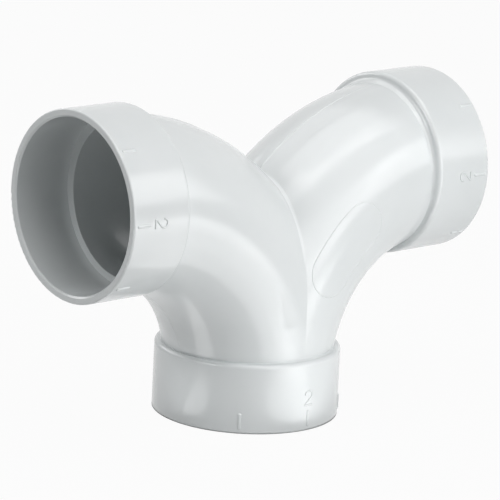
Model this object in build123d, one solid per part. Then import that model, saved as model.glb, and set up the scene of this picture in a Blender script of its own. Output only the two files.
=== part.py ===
from build123d import *
from math import radians, tan
import os

# Double sweep elbow for 2 inch vacuum tubing: one moulding with a tube socket facing down
# and two legs that sweep from it to sockets facing left and right.
# Origin at the centre of the bottom mouth, legs spread along X, +Z up, millimetres.

# Tube sockets
tube_diameter = 50.8      # outside of the tubing that is pushed in
tube_clearance = 0.1      # radial gap between tube and socket
socket_wall = 2.35
socket_depth = 19.05      # mouth to tube stop
stop_thickness = 1.75     # tube stop to the shoulder outside
stop_width = 2.7          # step from the socket bore to the air passage
lead_in = 0.5             # chamfer inside the mouth
mouth_edge_radius = 0.5   # outer edge of the mouth

# Index ticks on each socket's front, for lining up the tubes
tick_length = 5.2
tick_width = 1.1
tick_height = 0.35        # above the socket
tick_setback = 1.1        # mouth to the tick's near end
tick_angles = [-45, 0, 45]  # degrees from the front

# Shoulder behind each socket
shoulder_radius = 1.3     # outer edge
root_radius = 1.2         # cove where the shoulder runs into the body
root_foot = 0.45          # how far the cove's corner stands off the body
root_slope = 60           # degrees, cove's upper end

# Swept legs
body_wall = 2.45
sweep_radius = 57.15      # centreline of each quarter bend
straight_length = 12.7    # centreline from a mouth to the start of the bend
crotch_fillet = 1.2       # valley where the legs part, outside
divider_fillet = 1.0      # ridge that splits the air flow, inside

# Sizes that follow
bore_radius = tube_diameter / 2 + tube_clearance
socket_radius = bore_radius + socket_wall
passage_radius = bore_radius - stop_width
body_radius = passage_radius + body_wall
socket_length = socket_depth + stop_thickness
centre_to_mouth = sweep_radius + straight_length
root_sink = body_wall / 2
root_top = socket_length + (root_foot + root_sink) * tan(radians(root_slope))
mouth_overrun = socket_wall
tick_radius = (tick_width**2 / 4 + tick_height**2) / (2 * tick_height)
in_plane = 0.001          # how near an edge's middle lies to the plane it is picked by

# Each socket's frame: origin in its mouth, z axis into the fitting, y axis to the back
bottom_mouth = Plane(origin=(0, 0, 0), x_dir=(1, 0, 0), z_dir=(0, 0, 1))
left_mouth = Plane(origin=(-centre_to_mouth, 0, centre_to_mouth), x_dir=(0, 0, -1), z_dir=(1, 0, 0))
right_mouth = Plane(origin=(centre_to_mouth, 0, centre_to_mouth), x_dir=(0, 0, 1), z_dir=(-1, 0, 0))
mouths = [bottom_mouth, left_mouth, right_mouth]


def swept_legs(radius):
    # Two quarter bends of a round section, back to back on the bottom socket's axis
    foot = extrude(Circle(radius), straight_length)
    bend_axis = Axis((sweep_radius, 0, straight_length), (0, 1, 0))
    bend = revolve(Pos(0, 0, straight_length) * Circle(radius), bend_axis, 90)
    tip = extrude(right_mouth * Circle(radius), straight_length)
    leg = foot + bend + tip
    return leg + mirror(leg, about=Plane.YZ)


def socket_body():
    # Round socket with a broken mouth edge, a soft shoulder and a cove that sinks into the body
    outline = FilletPolyline(
        (0, 0),
        (socket_radius, 0),
        (socket_radius, socket_length),
        (body_radius + root_foot, socket_length),
        (body_radius - root_sink, root_top),
        (0, root_top),
        radius=[0, mouth_edge_radius, shoulder_radius, root_radius, 0, 0],
        close=True,
    )
    return revolve(Plane.XZ * make_face(outline), Axis.Z)


def socket_bore():
    # Space for the tube, flared at the mouth and flat at the tube stop
    flare_radius = bore_radius + lead_in
    outline = Polyline(
        (0, -mouth_overrun),
        (flare_radius, -mouth_overrun),
        (flare_radius, 0),
        (bore_radius, lead_in),
        (bore_radius, socket_depth),
        (0, socket_depth),
        close=True,
    )
    return revolve(Plane.XZ * make_face(outline), Axis.Z)


def index_tick():
    # Half-round rib with ball ends, sunk into the front of a socket along its axis
    half_span = tick_length / 2 - tick_radius
    rib = Cylinder(tick_radius, 2 * half_span)
    rib += [Pos(0, 0, end) * Sphere(tick_radius) for end in (-half_span, half_span)]
    return Pos(0, tick_radius - tick_height - socket_radius, tick_setback + tick_length / 2) * rib


def valley(shape, above):
    # Edge in the plane between the legs, where the two bends cross
    middle = shape.edges().filter_by_position(Axis.X, -in_plane, in_plane)
    return middle.filter_by_position(Axis.Z, above, centre_to_mouth + socket_radius)


# Outside
outside = swept_legs(body_radius)
for mouth in mouths:
    outside += mouth * socket_body()
outside = fillet(valley(outside, root_top), crotch_fillet)
outside += [mouth * Rot(0, 0, angle) * index_tick() for mouth in mouths for angle in tick_angles]

# Sockets and air passage
inside = swept_legs(passage_radius)
for mouth in mouths:
    inside += mouth * socket_bore()
inside = fillet(valley(inside, root_top), divider_fillet)

fitting = outside - inside

os.makedirs("parts", exist_ok=True)
export_step(fitting, "parts/double_sweep_elbow.step")
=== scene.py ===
import bmesh
import bpy
from math import cos, pi, radians, sin
from mathutils import Matrix, Vector


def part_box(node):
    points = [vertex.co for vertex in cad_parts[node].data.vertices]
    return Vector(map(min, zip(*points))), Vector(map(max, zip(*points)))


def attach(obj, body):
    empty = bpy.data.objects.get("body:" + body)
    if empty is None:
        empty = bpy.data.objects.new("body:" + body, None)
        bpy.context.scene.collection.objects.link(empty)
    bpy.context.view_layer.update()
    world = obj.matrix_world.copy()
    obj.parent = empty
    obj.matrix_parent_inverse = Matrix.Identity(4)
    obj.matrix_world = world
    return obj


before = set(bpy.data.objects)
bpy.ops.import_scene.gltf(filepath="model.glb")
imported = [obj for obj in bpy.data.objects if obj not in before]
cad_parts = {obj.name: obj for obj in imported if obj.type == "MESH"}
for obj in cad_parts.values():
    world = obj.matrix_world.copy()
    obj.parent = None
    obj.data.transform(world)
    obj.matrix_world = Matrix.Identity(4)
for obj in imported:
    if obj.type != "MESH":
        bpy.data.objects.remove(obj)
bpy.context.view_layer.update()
scene = bpy.context.scene
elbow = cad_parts["double_sweep_elbow"]
mm = 0.001

# sizes of the moulding that the raised marks sit on, millimetres
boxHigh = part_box("double_sweep_elbow")[1]
moulding = {
    "socketRadius": boxHigh[1] / mm,  # plain back of the sockets
    "mouthToCentre": boxHigh[0] / mm,
    "bodyRadius": 25.25,
    "sweepStart": 12.7,  # height of the bends' centres
}
moulding["sweepRadius"] = moulding["mouthToCentre"] - moulding["sweepStart"]


# shader helpers
def addNode(tree, kind, at, **values):
    node = tree.nodes.new(kind)
    node.location = at
    for key, value in values.items():
        if hasattr(node, key):
            setattr(node, key, value)
        else:
            node.inputs[key].default_value = value
    return node


def join(tree, source, output, target, socket):
    tree.links.new(source.outputs[output], target.inputs[socket])


def addNoise(tree, place, at, setup):
    noise = addNode(tree, "ShaderNodeTexNoise", at, **setup)
    join(tree, place, "Object", noise, "Vector")
    return noise


# gloss white PVC, clouded a little by the melt's flow
pvcFinish = {
    "whiteLow": (0.685, 0.715, 0.72, 1),
    "whiteHigh": (0.72, 0.745, 0.75, 1),
    "cloud": {"Scale": 34.0, "Detail": 4.0, "Roughness": 0.55},  # features about 30 mm across
    "roughLow": 0.17,
    "roughHigh": 0.23,
    "handling": {"Scale": 140.0, "Detail": 6.0, "Roughness": 0.6},
    "noiseLow": 0.3,  # noise that gives the low values, and below it
    "noiseHigh": 0.7,
    "wave": {"Scale": 48.0, "Detail": 1.0},  # slow waves from shrinkage
    "waveDepth": 0.00003,
    "peel": {"Scale": 950.0, "Detail": 2.0},  # fine skin of the mould's polish
    "peelDepth": 0.0000016,
    "ior": 1.53,
    "shine": 0.85,
}


def makePvc():
    material = bpy.data.materials.new("glossWhitePvc")
    material.use_nodes = True
    tree = material.node_tree
    shader = tree.nodes["Principled BSDF"]
    shader.inputs["IOR"].default_value = pvcFinish["ior"]
    shader.inputs["Specular IOR Level"].default_value = pvcFinish["shine"]
    place = addNode(tree, "ShaderNodeTexCoord", (-1300, 0))

    cloud = addNoise(tree, place, (-1000, 300), pvcFinish["cloud"])
    tint = addNode(tree, "ShaderNodeValToRGB", (-700, 300))
    tint.color_ramp.elements[0].position = pvcFinish["noiseLow"]
    tint.color_ramp.elements[0].color = pvcFinish["whiteLow"]
    tint.color_ramp.elements[1].position = pvcFinish["noiseHigh"]
    tint.color_ramp.elements[1].color = pvcFinish["whiteHigh"]
    join(tree, cloud, "Fac", tint, "Fac")
    join(tree, tint, "Color", shader, "Base Color")

    handling = addNoise(tree, place, (-1000, 0), pvcFinish["handling"])
    gloss = addNode(tree, "ShaderNodeMapRange", (-700, 0))
    gloss.inputs["From Min"].default_value = pvcFinish["noiseLow"]
    gloss.inputs["From Max"].default_value = pvcFinish["noiseHigh"]
    gloss.inputs["To Min"].default_value = pvcFinish["roughLow"]
    gloss.inputs["To Max"].default_value = pvcFinish["roughHigh"]
    join(tree, handling, "Fac", gloss, "Value")
    join(tree, gloss, "Result", shader, "Roughness")

    wave = addNoise(tree, place, (-1000, -300), pvcFinish["wave"])
    waveBump = addNode(tree, "ShaderNodeBump", (-700, -300), Strength=1.0, Distance=pvcFinish["waveDepth"])
    peel = addNoise(tree, place, (-1000, -600), pvcFinish["peel"])
    peelBump = addNode(tree, "ShaderNodeBump", (-400, -450), Strength=1.0, Distance=pvcFinish["peelDepth"])
    join(tree, wave, "Fac", waveBump, "Height")
    join(tree, peel, "Fac", peelBump, "Height")
    join(tree, waveBump, "Normal", peelBump, "Normal")
    join(tree, peelBump, "Normal", shader, "Normal")
    return material


pvc = makePvc()
elbow.data.materials.clear()
elbow.data.materials.append(pvc)
print("pvc on the moulding")

# raised marks: a round stroke along a flat curve, then laid on the moulding
markSetup = {"bevelResolution": 4, "weld": 0.002}  # weld in millimetres


def strokeShape(mark, knots, closed):
    curve = bpy.data.curves.new("stroke", "CURVE")
    curve.dimensions = "3D"
    curve.bevel_depth = mark["strokeRadius"]
    curve.bevel_resolution = markSetup["bevelResolution"]
    curve.resolution_u = mark["steps"]
    curve.use_fill_caps = True
    line = curve.splines.new("BEZIER")
    line.bezier_points.add(len(knots) - 1)
    for knot, (before, at, after) in zip(line.bezier_points, knots):
        knot.handle_left_type = knot.handle_right_type = "FREE"
        knot.co = (*at, 0)
        knot.handle_left = (*before, 0)
        knot.handle_right = (*after, 0)
    line.use_cyclic_u = closed
    holder = bpy.data.objects.new("stroke", curve)
    scene.collection.objects.link(holder)
    bpy.context.view_layer.update()
    mesh = bpy.data.meshes.new_from_object(holder.evaluated_get(bpy.context.evaluated_depsgraph_get()))
    bm = bmesh.new()
    bm.from_mesh(mesh)
    bpy.data.objects.remove(holder)
    bpy.data.meshes.remove(mesh)
    bpy.data.curves.remove(curve)
    return bm


def placePiece(name, bm):
    bmesh.ops.remove_doubles(bm, verts=bm.verts, dist=markSetup["weld"])
    bmesh.ops.recalc_face_normals(bm, faces=bm.faces)
    bmesh.ops.scale(bm, vec=(mm, mm, mm), verts=bm.verts)
    for face in bm.faces:
        face.smooth = True
    mesh = bpy.data.meshes.new(name)
    bm.to_mesh(mesh)
    bm.free()
    mesh.materials.append(pvc)
    piece = bpy.data.objects.new(name, mesh)
    scene.collection.objects.link(piece)
    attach(piece, "root")


# size numeral on the front of each socket, its foot towards the mouth
numeral = {
    "strokeRadius": 0.29,
    "steps": 10,
    "foot": 7.4,  # mouth to the numeral's foot
    "knots": [  # handle, point, handle
        ((-1.36, 3.05), (-1.30, 3.38), (-1.22, 4.12)),
        ((-0.76, 4.60), (0.0, 4.60), (0.80, 4.60)),
        ((1.28, 4.12), (1.28, 3.40), (1.28, 2.66)),
        ((0.36, 2.06), (-0.32, 1.42), (-0.80, 0.96)),
        ((-1.18, 0.72), (-1.30, 0.36), (-1.32, 0.30)),
        ((-1.0, 0.30), (-0.72, 0.30), (0.0, 0.30)),
        ((0.66, 0.30), (1.30, 0.30), (1.6, 0.30)),
    ],
}


def armTurn(side):  # -1 left, 1 right
    centre = moulding["mouthToCentre"]
    return Matrix.Translation((side * centre, 0, centre)) @ Matrix.Rotation(-side * pi / 2, 4, "Y")


socketTurns = {"bottom": Matrix.Identity(4), "left": armTurn(-1), "right": armTurn(1)}
for socket, turn in socketTurns.items():
    bm = strokeShape(numeral, numeral["knots"], False)
    for v in bm.verts:  # wrap round the socket's front
        angle = v.co.x / moulding["socketRadius"]
        reach = moulding["socketRadius"] + v.co.z
        v.co = (reach * sin(angle), -reach * cos(angle), numeral["foot"] + v.co.y)
    bmesh.ops.transform(bm, matrix=turn, verts=bm.verts)
    placePiece("sizeNumeral_" + socket, bm)
print("numerals raised")

# fine ridge along each leg where the mould's halves met
partingLine = {
    "strokeRadius": 0.2,
    "sides": 12,
    "sink": 0.1,  # ridge's middle below the leg's surface
    "outerArc": (47.5, 84.0),  # degrees round the bend from its start
    "innerArc": (18.5, 71.5),
    "steps": 72,
}


def ridgeArc(bm, bendRadius, arc):
    centre = Vector((moulding["sweepRadius"], 0, moulding["sweepStart"]))
    start, end = arc
    ring = bmesh.ops.create_circle(
        bm, cap_ends=True, segments=partingLine["sides"], radius=partingLine["strokeRadius"]
    )["verts"]
    bmesh.ops.translate(bm, verts=ring, vec=centre - Vector((bendRadius, 0, 0)))
    bmesh.ops.rotate(bm, verts=ring, cent=centre, matrix=Matrix.Rotation(radians(start), 3, "Y"))
    faces = list({face for v in ring for face in v.link_faces})
    edges = list({edge for v in ring for edge in v.link_edges})
    bmesh.ops.spin(
        bm,
        geom=ring + edges + faces,
        cent=centre,
        axis=(0, 1, 0),
        angle=radians(end - start),
        steps=partingLine["steps"],
        use_duplicate=False,
    )


fromTube = moulding["bodyRadius"] - partingLine["sink"]
for side in ("left", "right"):
    bm = bmesh.new()
    ridgeArc(bm, moulding["sweepRadius"] + fromTube, partingLine["outerArc"])
    ridgeArc(bm, moulding["sweepRadius"] - fromTube, partingLine["innerArc"])
    if side == "left":
        bmesh.ops.scale(bm, vec=(-1, 1, 1), verts=bm.verts)
    placePiece("partingLine_" + side, bm)
print("parting line raised")

# witness line of the plain mould insert on the right leg's front
insertLine = {
    "strokeRadius": 0.2,
    "steps": 20,
    "sink": 0.09,  # line's middle below the leg's surface
    "middle": 43.2,  # degrees round the bend
    "up": 0.8,
    "halfWidth": 7.5,
    "halfStraight": 8.15,
    "quarterHandle": 0.5523,  # handle of a quarter circle of radius 1
}


def stadiumKnots(a, w):
    k = insertLine["quarterHandle"] * w
    return [
        ((-a - k, -w), (-a, -w), (-a / 3, -w)),
        ((a / 3, -w), (a, -w), (a + k, -w)),
        ((a + w, -k), (a + w, 0), (a + w, k)),
        ((a + k, w), (a, w), (a / 3, w)),
        ((-a / 3, w), (-a, w), (-a - k, w)),
        ((-a - w, k), (-a - w, 0), (-a - w, -k)),
    ]


bm = strokeShape(insertLine, stadiumKnots(insertLine["halfStraight"], insertLine["halfWidth"]), True)
for v in bm.verts:  # lay on the leg: x along the sweep, y up its front
    along = radians(insertLine["middle"]) + v.co.x / moulding["sweepRadius"]
    roundTube = (insertLine["up"] + v.co.y) / moulding["bodyRadius"]
    reach = moulding["bodyRadius"] - insertLine["sink"] + v.co.z
    fromBend = moulding["sweepRadius"] + reach * sin(roundTube)
    v.co = (
        moulding["sweepRadius"] - fromBend * cos(along),
        -reach * cos(roundTube),
        moulding["sweepStart"] + fromBend * sin(along),
    )
placePiece("insertLine", bm)
print("insert line raised")


# 1 where a ray shows a surface: straight, mirrored or through glass
def seenDirectly(tree, at):
    path = addNode(tree, "ShaderNodeLightPath", at)
    gloss = addNode(tree, "ShaderNodeMath", (at[0] + 200, at[1]), operation="MAXIMUM")
    glass = addNode(tree, "ShaderNodeMath", (at[0] + 400, at[1]), operation="MAXIMUM")
    join(tree, path, "Is Camera Ray", gloss, 0)
    join(tree, path, "Is Glossy Ray", gloss, 1)
    join(tree, gloss, 0, glass, 0)
    join(tree, path, "Is Transmission Ray", glass, 1)
    return glass


# floor, white where it is seen and pale to everything else
floorSetup = {"size": 8.0, "colour": (0.42, 0.425, 0.425, 1), "roughness": 0.7, "glow": 0.95}


def makeFloorPaint():
    material = bpy.data.materials.new("paleFloor")
    material.use_nodes = True
    tree = material.node_tree
    shader = tree.nodes["Principled BSDF"]
    shader.inputs["Base Color"].default_value = floorSetup["colour"]
    shader.inputs["Roughness"].default_value = floorSetup["roughness"]

    seen = seenDirectly(tree, (-900, 200))
    share = addNode(tree, "ShaderNodeMath", (-300, 200), operation="MULTIPLY")
    share.inputs[1].default_value = floorSetup["glow"]
    join(tree, seen, 0, share, 0)

    # painted shade: the floor's glow is cut out in a disc under the bottom mouth, so the floor there stays
    # dark as in the fitting's shadow
    place = addNode(tree, "ShaderNodeTexCoord", (-900, 500))
    fromAxis = addNode(tree, "ShaderNodeVectorMath", (-700, 500), operation="LENGTH")
    outsidePaintedShade = addNode(tree, "ShaderNodeMath", (-500, 500), operation="GREATER_THAN")
    outsidePaintedShade.inputs[1].default_value = moulding["socketRadius"] * mm  # no glow inside the bottom mouth
    join(tree, place, "Object", fromAxis, 0)
    join(tree, fromAxis, "Value", outsidePaintedShade, 0)

    glowOutsidePaintedShade = addNode(tree, "ShaderNodeMath", (-100, 300), operation="MULTIPLY")
    join(tree, share, 0, glowOutsidePaintedShade, 0)
    join(tree, outsidePaintedShade, 0, glowOutsidePaintedShade, 1)
    glow = addNode(tree, "ShaderNodeEmission", (0, -300), Strength=1.0)
    mix = addNode(tree, "ShaderNodeMixShader", (300, 100))
    join(tree, glowOutsidePaintedShade, 0, mix, 0)
    join(tree, shader, 0, mix, 1)
    join(tree, glow, 0, mix, 2)
    join(tree, mix, 0, tree.nodes["Material Output"], "Surface")
    return material


def makeFloor():
    bm = bmesh.new()
    bmesh.ops.create_grid(bm, x_segments=4, y_segments=4, size=floorSetup["size"] / 2)
    mesh = bpy.data.meshes.new("studioFloor")
    bm.to_mesh(mesh)
    bm.free()
    mesh.materials.append(makeFloorPaint())
    floor = bpy.data.objects.new("studioFloor", mesh)
    scene.collection.objects.link(floor)


makeFloor()


# world, white where it is seen and dark to everything else
def makeWorld():
    world = bpy.data.worlds.new("studio")
    scene.world = world
    world.use_nodes = True
    tree = world.node_tree
    background = tree.nodes["Background"]
    background.inputs["Color"].default_value = (1, 1, 1, 1)
    join(tree, seenDirectly(tree, (-900, 200)), 0, background, "Strength")


makeWorld()
print("floor and world made")


def addLamp(name, shape, setup, at, turn):
    light = bpy.data.lights.new(name, "AREA")
    light.shape = shape
    light.size, light.size_y = setup["size"]
    light.energy = setup["power"]
    holder = bpy.data.objects.new(name, light)
    holder.location = at
    holder.rotation_euler = turn
    scene.collection.objects.link(holder)


# soft lamps: compass from the front towards the right and height, in degrees
lamps = {
    "frontLow": {"compass": 2, "height": 3, "away": 0.95, "size": (0.80, 0.20), "power": 1.05},
    "frontMiddle": {"compass": 2, "height": 12, "away": 0.95, "size": (0.80, 0.26), "power": 0.85},
    "frontUpper": {"compass": 4, "height": 22, "away": 0.95, "size": (0.80, 0.26), "power": 0.70},
    "frontRight": {"compass": 37, "height": 21, "away": 0.85, "size": (0.36, 0.40), "power": 0.80},
    "highFront": {"compass": 10, "height": 45, "away": 1.1, "size": (1.05, 0.86), "power": 2.55},
    "topRight": {"compass": 20, "height": 66, "away": 1.1, "size": (0.90, 0.34), "power": 0.65},
    "topLeft": {"compass": -45, "height": 63, "away": 1.1, "size": (0.50, 0.34), "power": 0.65},
    "overhead": {"compass": 0, "height": 86, "away": 1.0, "size": (0.80, 0.80), "power": 3.5},
    "backHigh": {"compass": 180, "height": 55, "away": 1.2, "size": (0.90, 0.60), "power": 1.65},
    "leftBox": {"compass": -95, "height": 25, "away": 1.2, "size": (0.50, 0.30), "power": 3.0},
    "backBox": {"compass": -164, "height": 24, "away": 1.2, "size": (0.80, 0.45), "power": 2.4},
}
lookAt = Vector((0, 0, 0.05))  # about the middle of the fitting
for name, lamp in lamps.items():
    compass = radians(lamp["compass"])
    height = radians(lamp["height"])
    toLamp = Vector((sin(compass) * cos(height), -cos(compass) * cos(height), sin(height)))
    turn = toLamp.to_track_quat("Z", "Y").to_euler()
    addLamp(name, "RECTANGLE", lamp, lookAt + toLamp * lamp["away"], turn)

# glow of the lit table, for the sheen down the legs and the bottom socket
tableGlow = {
    "glowFar": {"place": (0.116, -0.404), "turn": 16, "size": (0.24, 0.40), "power": 0.46},
    "glowRight": {"place": (0.100, -0.215), "turn": 40, "size": (0.09, 0.22), "power": 0.085},
    "glowMiddle": {"place": (0.059, -0.207), "turn": 16, "size": (0.16, 0.30), "power": 0.045},
    "glowBand": {"place": (0.055, -0.145), "turn": 40, "size": (0.07, 0.18), "power": 0.030},
    "glowLeft": {"place": (-0.053, -0.004), "turn": 90, "size": (0.018, 0.042), "power": 0.0022},
    "glowNear": {"place": (0.004, -0.070), "turn": 14, "size": (0.05, 0.08), "power": 0.0115},
}
glowHeight = 0.002  # just off the floor
for name, patch in tableGlow.items():
    turn = (pi, 0, radians(patch["turn"]))  # faces up
    addLamp(name, "ELLIPSE", patch, (*patch["place"], glowHeight), turn)
print("studio lit")

# camera at the photograph's angle
cameraSetup = {
    "azimuth": -42.487,
    "elevation": 13.949,
    "roll": 3.017,
    "away": 0.95648,
    "aside": 0.00178,
    "above": 0.04702,
    "lens": 229.146,
    "sensor": 36,
    "clipStart": 0.01,
}


def makeCamera():
    turn = (
        Matrix.Rotation(radians(cameraSetup["azimuth"]), 3, "Z")
        @ Matrix.Rotation(radians(90 - cameraSetup["elevation"]), 3, "X")
        @ Matrix.Rotation(radians(cameraSetup["roll"]), 3, "Z")
    )
    data = bpy.data.cameras.new("photoView")
    data.sensor_width = cameraSetup["sensor"]
    data.lens = cameraSetup["lens"]
    data.clip_start = cameraSetup["clipStart"]
    camera = bpy.data.objects.new("photoView", data)
    camera.location = turn @ Vector((cameraSetup["aside"], cameraSetup["above"], cameraSetup["away"]))
    camera.rotation_euler = turn.to_euler()
    scene.collection.objects.link(camera)
    scene.camera = camera


makeCamera()
scene.view_settings.view_transform = "Standard"
print("camera set")
